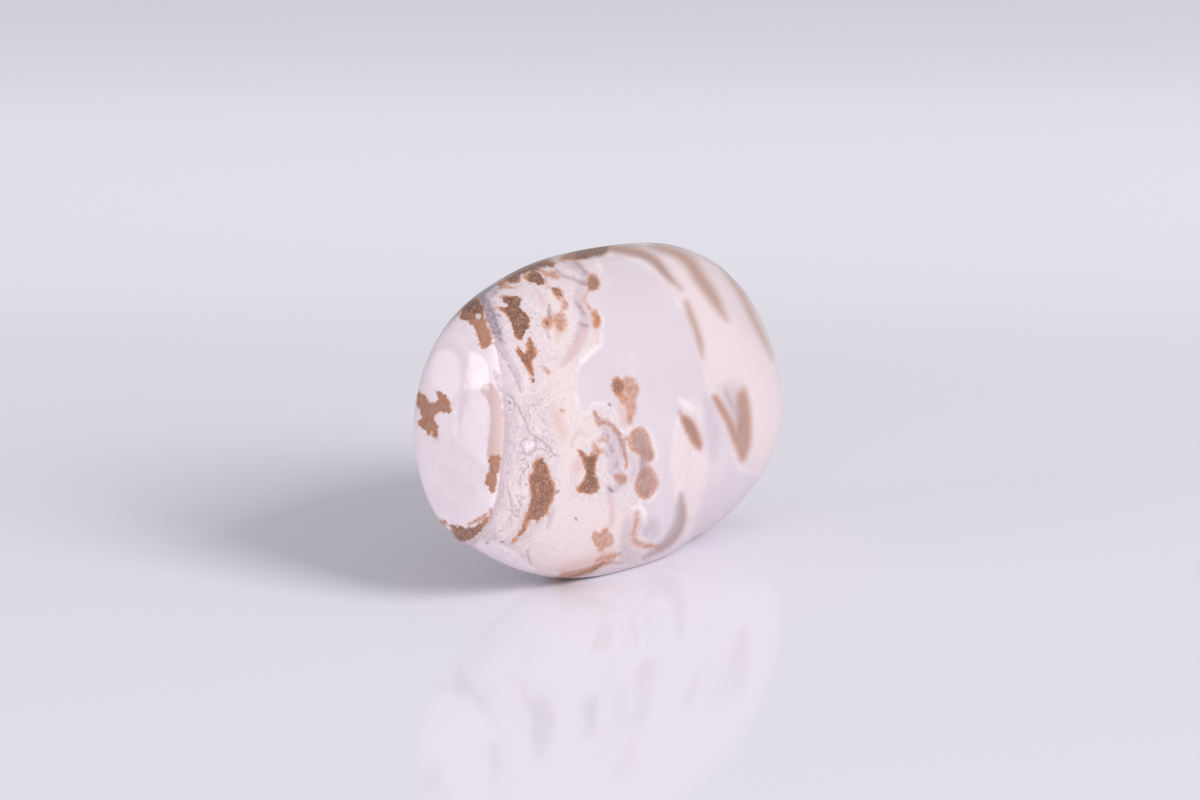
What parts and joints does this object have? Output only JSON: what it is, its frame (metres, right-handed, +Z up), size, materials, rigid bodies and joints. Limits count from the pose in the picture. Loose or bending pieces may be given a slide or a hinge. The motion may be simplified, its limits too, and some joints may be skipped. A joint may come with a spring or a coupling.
{
  "type": "tumbled rhodochrosite pebble",
  "caption": "Polished banded pink rhodochrosite pebble, a flattish oval standing on its narrow long edge, with a polished oval facet at one end.",
  "frame": {"origin": "middle of the bounding box in plan, on the surface the pebble rests on", "axes": "+X along the pebble, from the end with the polished facet to the round far end; +Y across its thin way; +Z up"},
  "size_m": [0.0344, 0.0124, 0.0223],
  "materials": {
    "polished_stone": "tumble-polished banded rhodochrosite, pale pink and lilac with rusty brown patches"
  },
  "bodies": {
    "root": {"stone": "polished_stone"}
  },
  "joints": []
}
